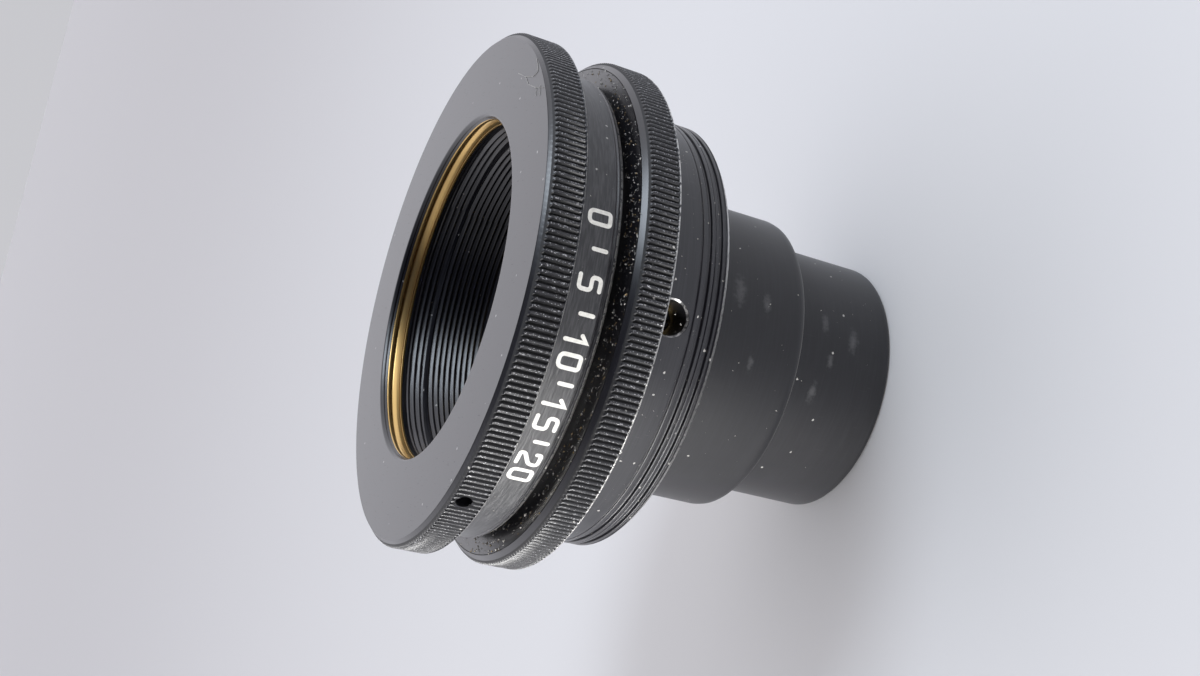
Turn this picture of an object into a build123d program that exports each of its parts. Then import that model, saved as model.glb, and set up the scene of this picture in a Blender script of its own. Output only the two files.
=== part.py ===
"""Macro lens with a knurled mount ring, a focusing ring on a helicoid and a stepped tail barrel.

The optical axis is Z. The lens stands on its tail end at Z = 0, with its front face up.
Depths are measured from the front face towards the tail. Azimuths are degrees from +X about +Z.
"""

from build123d import *
from math import cos, pi, radians, sin, sqrt
import os

# Camera thread: 42 mm by 0.75 mm, cut through the lip, the brass ring and the body's mouth
THREAD_MINOR_RADIUS = 20.6
THREAD_DEPTH = 5.8
LIP_WIDTH = 0.85
MOUTH_BEVEL = 0.2

# Brass ring behind the lip
BRASS_WIDTH = 1.8
BRASS_WALL = 3.85
BRASS_GROOVE_DEPTH = 0.5
BRASS_GROOVE_WIDTH = 0.82
BRASS_LINE_WIDTH = 0.24
BRASS_LINE_DEPTH = 0.16

# Knurled front ring round the brass ring
FRONT_RING_WALL = 6.5
FRONT_RING_WIDTH = 4.25
FRONT_RING_BEVEL = 0.74
FRONT_RING_TEETH = 275

# Screws that hold the brass ring in the front ring
SET_SCREW_AZIMUTHS = (-140, -20, 100)
SET_SCREW_RADIUS = 0.85
SET_SCREW_RECESS = 2.6
SET_SCREW_CONE = 0.6
SET_SCREW_DEPTH = 2.05

# Straight knurl between two lands, cut alike on both rings
KNURL_DEPTH = 0.35
KNURL_CREST = 0.22
KNURL_SKIM = 0.02
KNURL_FRONT_LAND = 0.06
KNURL_REAR_LAND = 0.2
RING_REAR_BEVEL = 0.1

# Lens barrel: the standard 31.75 mm push-in size
BARREL_RADIUS = 15.875
BARREL_WALL = 2.675
BARREL_EXPOSED = 14.0
BARREL_UNDERCUT = 0.2
BARREL_SEAT_STEP = 0.6
BARREL_LIP_WIDTH = 2.0
BARREL_END_FILLET = 0.4
BARREL_RECESS_STEP = 0.3

# Outer tail tube round the barrel
TAIL_STEP = 2.725
TUBE_WALL = 1.6
TUBE_SPIGOT_STEP = 0.7
TUBE_LENGTH = 17.6
TUBE_LIP_WIDTH = 1.0
TUBE_SHOULDER_FILLET = 0.8

# Helicoid on the tail tube
SKIRT_STANDOFF = 3.0
SKIRT_WALL = 1.4
SKIRT_GAP = 0.15
HELICOID_END_GAP = 0.4
HELICOID_FLANGE_WIDTH = 1.8
COVER_GAP = 0.1

# Focusing sleeve that turns round the helicoid
SLEEVE_WALL = 3.4
SLEEVE_FLANGE_WIDTH = 2.0
SLEEVE_END_BEVEL = 0.6
ACCESS_HOLE_RADIUS = 1.95
ACCESS_HOLE_AZIMUTH = -90
ACCESS_HOLE_SETBACK = 5.9
# Grooves near the sleeve's end: distance of the rear edge from the end, width, depth
SLEEVE_GROOVES = (
    (3.6, 0.2, 0.14),
    (2.5, 0.55, 0.38),
    (1.98, 0.12, 0.1),
    (1.15, 0.5, 0.38),
    (0.65, 0.2, 0.14),
)

# Focusing ring round the sleeve
FOCUS_RING_WALL = 4.4
FOCUS_RING_WIDTH = 4.3
FOCUS_RING_BEVEL = 0.9
FOCUS_RING_TEETH = 279
RING_GAP = 1.1

# Main body: collar, neck and guide tube
NECK_STEP = 1.5
COLLAR_STEP = 3.2
COLLAR_WIDTH = 5.65
COLLAR_LIP_WIDTH = 0.65
COLLAR_LIP_DROP = 0.3
COLLAR_LINE_WIDTH = 0.3
COLLAR_LINE_DEPTH = 0.18
GUIDE_TUBE_WALL = 1.7
BODY_BEYOND_GUIDE = 1.4

# Bearing ring that keeps the sleeve on the guide tube, and the dust cover at its end
BEARING_WIDTH = 0.8
COVER_WIDTH = 0.6

# Guide screw in the helicoid's slot
GUIDE_HEAD_RADIUS = 1.5
GUIDE_SHANK_RADIUS = 0.8
GUIDE_SHANK_LENGTH = 1.2

# Stop pin in the neck's shoulder and the arc groove that it runs in
STOP_PIN_RADIUS = 0.6
STOP_PIN_AZIMUTH = 90
STOP_PIN_SEAT = 1.5
STOP_PIN_STANDOUT = 1.05
STOP_GROOVE_FLOOR = 0.1
STOP_RUN_OUT = 0.5

# Motion of the focus: turn in degrees and travel
FOCUS_TURN = 300
FOCUS_TRAVEL = 2.0

# Rings with two spanner slots
LOCK_RING_WIDTH = 1.75
LOCK_RING_WALL = 2.45
REAR_RING_WIDTH = 2.3
REAR_RING_INSET = 1.66
SPANNER_SLOT_WIDTH = 1.3
SPANNER_SLOT_DEPTH = 0.5

# Optics: two cemented pairs about a stop
GLASS_RIM_WIDTH = 1.7
CROWN_RIM = 1.75
CROWN_OUTER_CURVE = 34.0
CEMENT_CURVE = 24.0
FLINT_RIM = 4.1
FLINT_OUTER_CURVE = 110.0
CEMENT_FILM = 0.02
SPACER_LENGTH = 2.6
STOP_THICKNESS = 0.6
STOP_RADIUS = 5.5

# Clearances
THREAD_FIT = 0.05
SLIDING_FIT = 0.1
AXIAL_PLAY = 0.05
GLASS_FIT = 0.1
HOLE_FIT = 0.05
SIGHT_FIT = 0.1

# How far a cutting shape reaches past the wall that it goes through
OVERCUT = 1.0

# Radii of the mount, from the thread outwards
brass_radius = THREAD_MINOR_RADIUS + BRASS_WALL
ring_bore = brass_radius + THREAD_FIT
front_ring_radius = ring_bore + FRONT_RING_WALL

# Radii of the tail and the optics, from the barrel inwards and outwards
barrel_bore = BARREL_RADIUS - BARREL_WALL
barrel_recess = barrel_bore + BARREL_RECESS_STEP
glass_radius = barrel_bore - GLASS_FIT
clear_radius = glass_radius - GLASS_RIM_WIDTH
sight_radius = clear_radius + SIGHT_FIT
tube_radius = BARREL_RADIUS + TAIL_STEP
tube_bore = tube_radius - TUBE_WALL
barrel_seat_radius = BARREL_RADIUS - BARREL_SEAT_STEP
tube_lip_bore = barrel_seat_radius + HOLE_FIT
spigot_radius = tube_radius - TUBE_SPIGOT_STEP
shoulder_radius = tube_bore - THREAD_FIT

# Radii of the focusing parts, from the helicoid outwards
skirt_bore = tube_radius + SKIRT_STANDOFF
skirt_radius = skirt_bore + SKIRT_WALL
sleeve_cavity = skirt_radius + SLIDING_FIT
sleeve_radius = sleeve_cavity + SLEEVE_WALL
focus_ring_radius = sleeve_radius + FOCUS_RING_WALL
guide_tube_radius = skirt_bore - SLIDING_FIT
flange_bore = guide_tube_radius + SLIDING_FIT
body_bore = guide_tube_radius - GUIDE_TUBE_WALL
neck_radius = sleeve_radius - NECK_STEP
collar_radius = neck_radius + COLLAR_STEP
stop_pin_circle = (guide_tube_radius + neck_radius) / 2

# Depths from the front face, worked out from the pieces in order
body_front = LIP_WIDTH + BRASS_WIDTH
collar_front = FRONT_RING_WIDTH
collar_rear = collar_front + COLLAR_WIDTH
focus_front = collar_rear + RING_GAP
sleeve_front = focus_front + FOCUS_RING_BEVEL
focus_rear = focus_front + FOCUS_RING_WIDTH
neck_rear = sleeve_front - AXIAL_PLAY
flange_rear = sleeve_front + SLEEVE_FLANGE_WIDTH
bearing_front = flange_rear + AXIAL_PLAY
bearing_rear = bearing_front + BEARING_WIDTH
skirt_front = bearing_rear + SKIRT_GAP
guide_depth = sleeve_front + ACCESS_HOLE_SETBACK
body_rear = guide_depth + BODY_BEYOND_GUIDE
helicoid_front = body_rear + HELICOID_END_GAP
helicoid_rear = helicoid_front + HELICOID_FLANGE_WIDTH
cover_front = helicoid_rear + FOCUS_TRAVEL + COVER_GAP
sleeve_rear = cover_front + COVER_WIDTH
tube_rear = helicoid_rear + TUBE_LENGTH
tube_lip = tube_rear - TUBE_LIP_WIDTH
length = tube_rear + BARREL_EXPOSED
rear_ring_front = length - REAR_RING_INSET - REAR_RING_WIDTH
stack_length = 2 * (CROWN_RIM + CEMENT_FILM + FLINT_RIM + SPACER_LENGTH) + STOP_THICKNESS
glass_seat = rear_ring_front - stack_length
barrel_front = glass_seat - BARREL_LIP_WIDTH
lock_ring_front = barrel_front - LOCK_RING_WIDTH


def height(depth):
    """Height above the tail end of a point at a depth behind the front face."""
    return length - depth


def section(*corners):
    """Corners of a turned section, given as radius and depth, as points of the XZ plane."""
    return [(radius, height(depth)) for radius, depth in corners]


def radial_plane(azimuth, depth, radius):
    """Plane square to the radius at an azimuth, with its normal outwards and its X along the axis."""
    out = Vector(cos(radians(azimuth)), sin(radians(azimuth)), 0)
    return Plane(origin=out * radius + Vector(0, 0, height(depth)), x_dir=(0, 0, 1), z_dir=out)


def knurl_outline(land_radius, teeth):
    """Closed outline of V grooves with narrow flat crests, skimmed just below the lands."""
    crest_radius = land_radius - KNURL_SKIM
    step = 2 * pi / teeth
    half_crest = KNURL_CREST / 2 / crest_radius
    points = []
    for tooth in range(teeth):
        middle = tooth * step
        for angle, radius in (
            (middle - half_crest, crest_radius),
            (middle + half_crest, crest_radius),
            (middle + step / 2, land_radius - KNURL_DEPTH),
        ):
            points.append((radius * cos(angle), radius * sin(angle)))
    return points


def bulge(curve, radius):
    """How far a spherical face rises above its rim plane at a radius; a negative curve is hollow."""
    rise = sqrt(curve**2 - radius**2) - sqrt(curve**2 - clear_radius**2)
    return rise if curve > 0 else -rise


# Front ring: lip, bore for the brass ring and a straight knurl
with BuildPart() as front_knurled_ring:
    with BuildSketch(Plane.XZ):
        Polygon(
            *section(
                (THREAD_MINOR_RADIUS + MOUTH_BEVEL, 0),
                (front_ring_radius - FRONT_RING_BEVEL, 0),
                (front_ring_radius, FRONT_RING_BEVEL),
                (front_ring_radius, FRONT_RING_WIDTH - RING_REAR_BEVEL),
                (front_ring_radius - RING_REAR_BEVEL, FRONT_RING_WIDTH),
                (ring_bore, FRONT_RING_WIDTH),
                (ring_bore, LIP_WIDTH),
                (THREAD_MINOR_RADIUS, LIP_WIDTH),
                (THREAD_MINOR_RADIUS, MOUTH_BEVEL),
            ),
            align=None,
        )
    revolve(axis=Axis.Z)
    with BuildSketch(Plane.XY.offset(height(FRONT_RING_WIDTH - KNURL_REAR_LAND))):
        Circle(front_ring_radius + OVERCUT)
        Polygon(*knurl_outline(front_ring_radius, FRONT_RING_TEETH), align=None, mode=Mode.SUBTRACT)
    knurl_length = FRONT_RING_WIDTH - KNURL_REAR_LAND - FRONT_RING_BEVEL - KNURL_FRONT_LAND
    extrude(amount=knurl_length, mode=Mode.SUBTRACT)
    for azimuth in SET_SCREW_AZIMUTHS:
        with BuildSketch(radial_plane(azimuth, SET_SCREW_DEPTH, THREAD_MINOR_RADIUS)):
            Circle(SET_SCREW_RADIUS + HOLE_FIT)
        extrude(amount=front_ring_radius, mode=Mode.SUBTRACT)
front_knurled_ring.part.label = "front_knurled_ring"

# Brass ring: V groove outside for the screw points, a fine line inside
with BuildPart() as brass_mount_ring:
    brass_middle = LIP_WIDTH + BRASS_WIDTH / 2
    with BuildSketch(Plane.XZ):
        Polygon(
            *section(
                (THREAD_MINOR_RADIUS, LIP_WIDTH),
                (brass_radius, LIP_WIDTH),
                (brass_radius, SET_SCREW_DEPTH - BRASS_GROOVE_WIDTH / 2),
                (brass_radius - BRASS_GROOVE_DEPTH, SET_SCREW_DEPTH),
                (brass_radius, SET_SCREW_DEPTH + BRASS_GROOVE_WIDTH / 2),
                (brass_radius, body_front),
                (THREAD_MINOR_RADIUS, body_front),
                (THREAD_MINOR_RADIUS, brass_middle + BRASS_LINE_WIDTH / 2),
                (THREAD_MINOR_RADIUS + BRASS_LINE_DEPTH, brass_middle),
                (THREAD_MINOR_RADIUS, brass_middle - BRASS_LINE_WIDTH / 2),
            ),
            align=None,
        )
    revolve(axis=Axis.Z)
brass_mount_ring.part.label = "brass_mount_ring"

# Three slotted screws with cone points in the brass ring's groove
with BuildPart() as mount_set_screws:
    for azimuth in SET_SCREW_AZIMUTHS:
        tip_radius = brass_radius - BRASS_GROOVE_DEPTH + SIGHT_FIT
        screw_start = tip_radius + SET_SCREW_CONE
        screw_end = front_ring_radius - SET_SCREW_RECESS
        with BuildSketch(radial_plane(azimuth, SET_SCREW_DEPTH, screw_start)):
            Circle(SET_SCREW_RADIUS)
        extrude(amount=screw_end - screw_start)
        with BuildSketch(radial_plane(azimuth, SET_SCREW_DEPTH, screw_start)):
            Circle(SET_SCREW_RADIUS / 2)
        with BuildSketch(radial_plane(azimuth, SET_SCREW_DEPTH, tip_radius)):
            Circle(SET_SCREW_RADIUS / 10)
        loft()
        with BuildSketch(radial_plane(azimuth, SET_SCREW_DEPTH, screw_end)):
            Rectangle(SET_SCREW_RADIUS / 2, 3 * SET_SCREW_RADIUS)
        extrude(amount=-SET_SCREW_RADIUS, mode=Mode.SUBTRACT)
mount_set_screws.part.label = "mount_set_screws"

# Main body: threaded mouth, engraved collar, neck and the tube that the sleeve turns on
with BuildPart() as main_body:
    collar_line = collar_rear - COLLAR_LIP_WIDTH - COLLAR_LINE_WIDTH / 2
    with BuildSketch(Plane.XZ):
        Polygon(
            *section(
                (THREAD_MINOR_RADIUS, body_front),
                (brass_radius, body_front),
                (brass_radius, collar_front),
                (collar_radius, collar_front),
                (collar_radius, collar_line - COLLAR_LINE_WIDTH / 2),
                (collar_radius - COLLAR_LINE_DEPTH, collar_line),
                (collar_radius, collar_line + COLLAR_LINE_WIDTH / 2),
                (collar_radius - COLLAR_LIP_DROP, collar_rear),
                (neck_radius, collar_rear),
                (neck_radius, neck_rear),
                (guide_tube_radius, neck_rear),
                (guide_tube_radius, body_rear),
                (body_bore, body_rear),
                (body_bore, THREAD_DEPTH),
                (THREAD_MINOR_RADIUS, THREAD_DEPTH),
            ),
            align=None,
        )
    revolve(axis=Axis.Z)
    guide_floor = guide_tube_radius - GUIDE_SHANK_LENGTH
    with BuildSketch(radial_plane(ACCESS_HOLE_AZIMUTH, guide_depth, guide_floor)):
        Circle(GUIDE_SHANK_RADIUS + HOLE_FIT)
    extrude(amount=2 * GUIDE_SHANK_LENGTH, mode=Mode.SUBTRACT)
    with BuildSketch(Plane.XY.offset(height(neck_rear))):
        with PolarLocations(stop_pin_circle, 1, start_angle=STOP_PIN_AZIMUTH):
            Circle(STOP_PIN_RADIUS)
    extrude(amount=STOP_PIN_SEAT, mode=Mode.SUBTRACT)
main_body.part.label = "main_body"

# Bearing ring: traps the sleeve's flange against the neck
with BuildPart() as bearing_ring:
    with BuildSketch(Plane.XZ):
        Polygon(
            *section(
                (guide_tube_radius + THREAD_FIT, bearing_front),
                (sleeve_cavity - 2 * SLIDING_FIT, bearing_front),
                (sleeve_cavity - 2 * SLIDING_FIT, bearing_rear),
                (guide_tube_radius + THREAD_FIT, bearing_rear),
            ),
            align=None,
        )
    revolve(axis=Axis.Z)
    with BuildSketch(Plane.XY.offset(height(bearing_rear))):
        Rectangle(3 * sleeve_cavity, SPANNER_SLOT_WIDTH)
    extrude(amount=SPANNER_SLOT_DEPTH, mode=Mode.SUBTRACT)
bearing_ring.part.label = "bearing_ring"

# Guide screw: its head runs in the helicoid's slot and keeps the tail from turning
with BuildPart() as guide_screw:
    with BuildSketch(radial_plane(ACCESS_HOLE_AZIMUTH, guide_depth, guide_floor + HOLE_FIT)):
        Circle(GUIDE_SHANK_RADIUS)
    extrude(amount=GUIDE_SHANK_LENGTH)
    head_floor = guide_tube_radius + HOLE_FIT
    head_height = skirt_radius - SLIDING_FIT - head_floor
    with BuildSketch(radial_plane(ACCESS_HOLE_AZIMUTH, guide_depth, head_floor)):
        Circle(GUIDE_HEAD_RADIUS)
    extrude(amount=head_height)
    with BuildSketch(radial_plane(ACCESS_HOLE_AZIMUTH, guide_depth, head_floor + head_height)):
        Rectangle(3 * GUIDE_HEAD_RADIUS, GUIDE_SHANK_RADIUS / 2)
    extrude(amount=-head_height / 2, mode=Mode.SUBTRACT)
guide_screw.part.label = "guide_screw"

# Stop pin: pressed in the neck's shoulder
with BuildPart() as stop_pin:
    with BuildSketch(Plane.XY.offset(height(neck_rear) - STOP_PIN_STANDOUT)):
        with PolarLocations(stop_pin_circle, 1, start_angle=STOP_PIN_AZIMUTH):
            Circle(STOP_PIN_RADIUS)
    extrude(amount=STOP_PIN_SEAT + STOP_PIN_STANDOUT)
stop_pin.part.label = "stop_pin"

# Focusing ring: front flange, broad bevel and a straight knurl
with BuildPart() as focus_ring:
    with BuildSketch(Plane.XZ):
        Polygon(
            *section(
                (neck_radius + 2 * SLIDING_FIT, focus_front),
                (focus_ring_radius - FOCUS_RING_BEVEL, focus_front),
                (focus_ring_radius, sleeve_front),
                (focus_ring_radius, focus_rear - RING_REAR_BEVEL),
                (focus_ring_radius - RING_REAR_BEVEL, focus_rear),
                (sleeve_radius + THREAD_FIT, focus_rear),
                (sleeve_radius + THREAD_FIT, sleeve_front),
                (neck_radius + 2 * SLIDING_FIT, sleeve_front),
            ),
            align=None,
        )
    revolve(axis=Axis.Z)
    with BuildSketch(Plane.XY.offset(height(focus_rear - KNURL_REAR_LAND))):
        Circle(focus_ring_radius + OVERCUT)
        Polygon(*knurl_outline(focus_ring_radius, FOCUS_RING_TEETH), align=None, mode=Mode.SUBTRACT)
    knurl_length = FOCUS_RING_WIDTH - KNURL_REAR_LAND - FOCUS_RING_BEVEL - KNURL_FRONT_LAND
    extrude(amount=knurl_length, mode=Mode.SUBTRACT)
focus_ring.part.label = "focus_ring"

# Focusing sleeve: inner flange on the guide tube, grooves at its end and the access hole
with BuildPart() as focus_sleeve:
    grooves = []
    for setback, width, depth in SLEEVE_GROOVES:
        rear_edge = sleeve_rear - setback
        grooves += [
            (sleeve_radius, rear_edge - width),
            (sleeve_radius - depth, rear_edge - width),
            (sleeve_radius - depth, rear_edge),
            (sleeve_radius, rear_edge),
        ]
    with BuildSketch(Plane.XZ):
        Polygon(
            *section(
                (flange_bore, sleeve_front),
                (sleeve_radius, sleeve_front),
                *grooves,
                (sleeve_radius, sleeve_rear - SLEEVE_END_BEVEL),
                (sleeve_radius - SLEEVE_END_BEVEL, sleeve_rear),
                (sleeve_cavity, sleeve_rear),
                (sleeve_cavity, flange_rear),
                (flange_bore, flange_rear),
            ),
            align=None,
        )
    revolve(axis=Axis.Z)
    with BuildSketch(radial_plane(ACCESS_HOLE_AZIMUTH, guide_depth, guide_tube_radius)):
        Circle(ACCESS_HOLE_RADIUS)
    extrude(amount=sleeve_radius, mode=Mode.SUBTRACT)
    with BuildSketch(Plane.XY.offset(height(sleeve_front))):
        with BuildLine():
            run_start = STOP_PIN_AZIMUTH + STOP_RUN_OUT
            run = CenterArc((0, 0), stop_pin_circle, run_start, -FOCUS_TURN - 2 * STOP_RUN_OUT)
        SlotArc(run, 2 * (STOP_PIN_RADIUS + SLIDING_FIT))
    extrude(amount=-STOP_PIN_STANDOUT - STOP_GROOVE_FLOOR, mode=Mode.SUBTRACT)
focus_sleeve.part.label = "focus_sleeve"

# Cover ring: closes the sleeve round the tail tube
with BuildPart() as rear_cover_ring:
    with BuildSketch(Plane.XZ):
        Polygon(
            *section(
                (tube_radius + SLIDING_FIT, cover_front),
                (sleeve_cavity - THREAD_FIT, cover_front),
                (sleeve_cavity - THREAD_FIT, sleeve_rear),
                (tube_radius + SLIDING_FIT, sleeve_rear),
            ),
            align=None,
        )
    revolve(axis=Axis.Z)
    with BuildSketch(Plane.XY.offset(height(sleeve_rear))):
        Rectangle(3 * sleeve_cavity, SPANNER_SLOT_WIDTH)
    extrude(amount=COVER_WIDTH / 2, mode=Mode.SUBTRACT)
rear_cover_ring.part.label = "rear_cover_ring"

# Helicoid: brass skirt round the guide tube, with the slot for the guide screw
with BuildPart() as helicoid_sleeve:
    spigot_bore = spigot_radius + THREAD_FIT
    with BuildSketch(Plane.XZ):
        Polygon(
            *section(
                (skirt_bore, skirt_front),
                (skirt_radius, skirt_front),
                (skirt_radius, helicoid_rear),
                (spigot_bore, helicoid_rear),
                (spigot_bore, helicoid_front),
                (skirt_bore, helicoid_front),
            ),
            align=None,
        )
    revolve(axis=Axis.Z)
    with BuildSketch(radial_plane(ACCESS_HOLE_AZIMUTH, guide_depth, guide_tube_radius - SLIDING_FIT)):
        slot_half = GUIDE_HEAD_RADIUS + SLIDING_FIT
        Circle(slot_half)
        with Locations((FOCUS_RING_WIDTH / 2, 0)):
            Rectangle(FOCUS_RING_WIDTH, 2 * slot_half)
    extrude(amount=skirt_radius - guide_tube_radius + OVERCUT, mode=Mode.SUBTRACT)
helicoid_sleeve.part.label = "helicoid_sleeve"

# Outer tail tube: screwed in the helicoid, with a lip that the barrel seats on
with BuildPart() as outer_tail_tube:
    with BuildSketch(Plane.XZ):
        Polygon(
            *section(
                (tube_bore, helicoid_front),
                (spigot_radius, helicoid_front),
                (spigot_radius, helicoid_rear),
                (tube_radius, helicoid_rear),
                (tube_radius, tube_rear),
                (tube_lip_bore, tube_rear),
                (tube_lip_bore, tube_lip),
                (tube_bore, tube_lip),
            ),
            align=None,
        )
    revolve(axis=Axis.Z)
    rear_edges = outer_tail_tube.edges().filter_by(GeomType.CIRCLE).group_by(Axis.Z)[0]
    fillet(rear_edges.sort_by(SortBy.RADIUS)[-1], TUBE_SHOULDER_FILLET)
outer_tail_tube.part.label = "outer_tail_tube"

# Lens barrel: lip in front, bore for the glass and a wider recess at the tail end
with BuildPart() as lens_barrel:
    with BuildSketch(Plane.XZ):
        Polygon(
            *section(
                (sight_radius, barrel_front),
                (shoulder_radius, barrel_front),
                (shoulder_radius, tube_lip),
                (barrel_seat_radius, tube_lip),
                (barrel_seat_radius, tube_rear + BARREL_UNDERCUT),
                (BARREL_RADIUS, tube_rear + BARREL_UNDERCUT),
                (BARREL_RADIUS, length),
                (barrel_recess, length),
                (barrel_recess, rear_ring_front),
                (barrel_bore, rear_ring_front),
                (barrel_bore, glass_seat),
                (sight_radius, glass_seat),
            ),
            align=None,
        )
    revolve(axis=Axis.Z)
    end_edges = lens_barrel.edges().filter_by(GeomType.CIRCLE).group_by(Axis.Z)[0]
    fillet(end_edges.sort_by(SortBy.RADIUS)[-1], BARREL_END_FILLET)
lens_barrel.part.label = "lens_barrel"

# Lock ring: holds the barrel against the tube's lip
with BuildPart() as barrel_lock_ring:
    with BuildSketch(Plane.XZ):
        Polygon(
            *section(
                (shoulder_radius - LOCK_RING_WALL, lock_ring_front),
                (shoulder_radius, lock_ring_front),
                (shoulder_radius, barrel_front),
                (shoulder_radius - LOCK_RING_WALL, barrel_front),
            ),
            align=None,
        )
    revolve(axis=Axis.Z)
    with BuildSketch(Plane.XY.offset(height(lock_ring_front))):
        Rectangle(3 * tube_bore, SPANNER_SLOT_WIDTH)
    extrude(amount=-SPANNER_SLOT_DEPTH, mode=Mode.SUBTRACT)
barrel_lock_ring.part.label = "barrel_lock_ring"

# Rear ring: holds the glass stack from the tail end
with BuildPart() as rear_retaining_ring:
    with BuildSketch(Plane.XZ):
        Polygon(
            *section(
                (sight_radius, rear_ring_front),
                (barrel_recess - THREAD_FIT, rear_ring_front),
                (barrel_recess - THREAD_FIT, rear_ring_front + REAR_RING_WIDTH),
                (sight_radius, rear_ring_front + REAR_RING_WIDTH),
            ),
            align=None,
        )
    revolve(axis=Axis.Z)
    with BuildSketch(Plane.XY.offset(height(rear_ring_front + REAR_RING_WIDTH))):
        Rectangle(3 * barrel_recess, SPANNER_SLOT_WIDTH)
    extrude(amount=SPANNER_SLOT_DEPTH, mode=Mode.SUBTRACT)
rear_retaining_ring.part.label = "rear_retaining_ring"

pieces = [
    front_knurled_ring,
    brass_mount_ring,
    mount_set_screws,
    main_body,
    bearing_ring,
    guide_screw,
    stop_pin,
    focus_ring,
    focus_sleeve,
    rear_cover_ring,
    helicoid_sleeve,
    outer_tail_tube,
    lens_barrel,
    barrel_lock_ring,
    rear_retaining_ring,
]

# The glass stack from front to rear. A glass has a rim and the curves of its two faces,
# positive where the face bulges; a metal piece has a thickness and a hole.
stack = (
    ("front_crown", "glass", CROWN_RIM, CROWN_OUTER_CURVE, CEMENT_CURVE),
    ("", "film", CEMENT_FILM, 0, 0),
    ("front_flint", "glass", FLINT_RIM, -CEMENT_CURVE, FLINT_OUTER_CURVE),
    ("front_spacer", "metal", SPACER_LENGTH, sight_radius, 0),
    ("aperture_stop", "metal", STOP_THICKNESS, STOP_RADIUS, 0),
    ("rear_spacer", "metal", SPACER_LENGTH, sight_radius, 0),
    ("rear_flint", "glass", FLINT_RIM, FLINT_OUTER_CURVE, -CEMENT_CURVE),
    ("", "film", CEMENT_FILM, 0, 0),
    ("rear_crown", "glass", CROWN_RIM, CEMENT_CURVE, CROWN_OUTER_CURVE),
)
stack_depth = glass_seat
for label, kind, thickness, first, second in stack:
    face_in = stack_depth
    face_out = stack_depth + thickness
    stack_depth = face_out
    if kind == "film":
        continue
    with BuildPart() as stacked:
        with BuildSketch(Plane.XZ):
            if kind == "metal":
                Polygon(
                    *section(
                        (first, face_in),
                        (glass_radius, face_in),
                        (glass_radius, face_out),
                        (first, face_out),
                    ),
                    align=None,
                )
            else:
                with BuildLine():
                    middle = clear_radius / 2
                    ThreePointArc(
                        *section(
                            (0, face_in - bulge(first, 0)),
                            (middle, face_in - bulge(first, middle)),
                            (clear_radius, face_in),
                        )
                    )
                    Polyline(
                        *section(
                            (clear_radius, face_in),
                            (glass_radius, face_in),
                            (glass_radius, face_out),
                            (clear_radius, face_out),
                        )
                    )
                    ThreePointArc(
                        *section(
                            (clear_radius, face_out),
                            (middle, face_out + bulge(second, middle)),
                            (0, face_out + bulge(second, 0)),
                        )
                    )
                    Line(
                        *section(
                            (0, face_out + bulge(second, 0)),
                            (0, face_in - bulge(first, 0)),
                        )
                    )
                make_face()
        revolve(axis=Axis.Z)
    stacked.part.label = label
    pieces.append(stacked)

os.makedirs("parts", exist_ok=True)
for piece in pieces:
    export_step(piece.part, f"parts/{piece.part.label}.step")
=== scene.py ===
"""Looks of the macro lens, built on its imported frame.

Depths are millimetres behind the front face, radii are millimetres from the optical axis, and
azimuths are degrees from +X about +Z, as in the frame.
"""

import math
import random

import bpy
import numpy as np
from bpy.props import (
    FloatProperty,
    FloatVectorProperty,
    IntProperty,
    PointerProperty,
)
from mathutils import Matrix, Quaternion, Vector


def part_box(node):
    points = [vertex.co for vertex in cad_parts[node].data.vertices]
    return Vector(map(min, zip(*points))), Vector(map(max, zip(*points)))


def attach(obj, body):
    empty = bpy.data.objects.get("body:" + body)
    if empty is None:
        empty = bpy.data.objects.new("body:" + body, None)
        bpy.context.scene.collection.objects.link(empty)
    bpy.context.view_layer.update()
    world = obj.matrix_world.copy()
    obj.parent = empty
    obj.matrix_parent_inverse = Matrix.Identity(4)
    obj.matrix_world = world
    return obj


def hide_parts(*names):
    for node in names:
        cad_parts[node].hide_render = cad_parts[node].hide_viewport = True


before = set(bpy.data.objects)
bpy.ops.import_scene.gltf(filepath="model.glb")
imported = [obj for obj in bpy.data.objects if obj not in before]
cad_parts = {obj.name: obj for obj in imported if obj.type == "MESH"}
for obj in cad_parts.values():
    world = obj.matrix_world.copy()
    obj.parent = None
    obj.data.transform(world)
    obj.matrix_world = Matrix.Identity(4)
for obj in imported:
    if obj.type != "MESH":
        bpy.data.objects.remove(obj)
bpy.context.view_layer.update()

bl_info = {
    "name": "Macro Lens Looks",
    "version": (1, 0, 0),
    "blender": (4, 5, 0),
    "location": "View3D > Sidebar > Lens",
    "description": "Builds the visible pieces and finishes of a macro lens on its packed frame",
    "category": "Object",
}

MM = 0.001
FRONT_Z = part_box("front_knurled_ring")[1].z

# How far up the bevel a knurl's grooves run out, as shares of the bevel and of the groove's depth
BEVEL_STATIONS = (0.66, 0.74, 0.82, 0.9, 0.97, 1.0)
BEVEL_CUTS = (0.6, 0.66, 0.72, 0.79, 0.86, 0.9)

# The bodies that pieces ride on
TAIL = "tail"
MOUNT = "mount_body"
ROTOR = "focus_rotor"

# Radii of the outer surfaces, in millimetres
FRONT_RADIUS = 31.0
FOCUS_RADIUS = 30.9
COLLAR_RADIUS = 28.2
SLEEVE_RADIUS = 26.5
TUBE_RADIUS = 18.6
BARREL_RADIUS = 15.875

# How far a drill reaches past a piece's outside, and how much wider it is there
DRILL_REACH, DRILL_WIDENING = 3, 2.2

# Colours of wear and dust on the dark finishes, and the painted groove shade and crest glints of
# knurls
RUBBED = (0.16, 0.16, 0.165, 1.0)
SCRATCHED = (0.3, 0.3, 0.31, 1.0)
# Painted highlight: bright glints on the knurl's crests, with some rubbing
CREST_GLINT = (0.5, 0.5, 0.52, 1.0)
# Painted shade in the knurl's grooves, with some dirt
GROOVE_SHADE = (0.003, 0.003, 0.004, 1.0)
DUST = (0.4, 0.39, 0.37, 1.0)
BARE = (0.55, 0.54, 0.52, 1.0)

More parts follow.
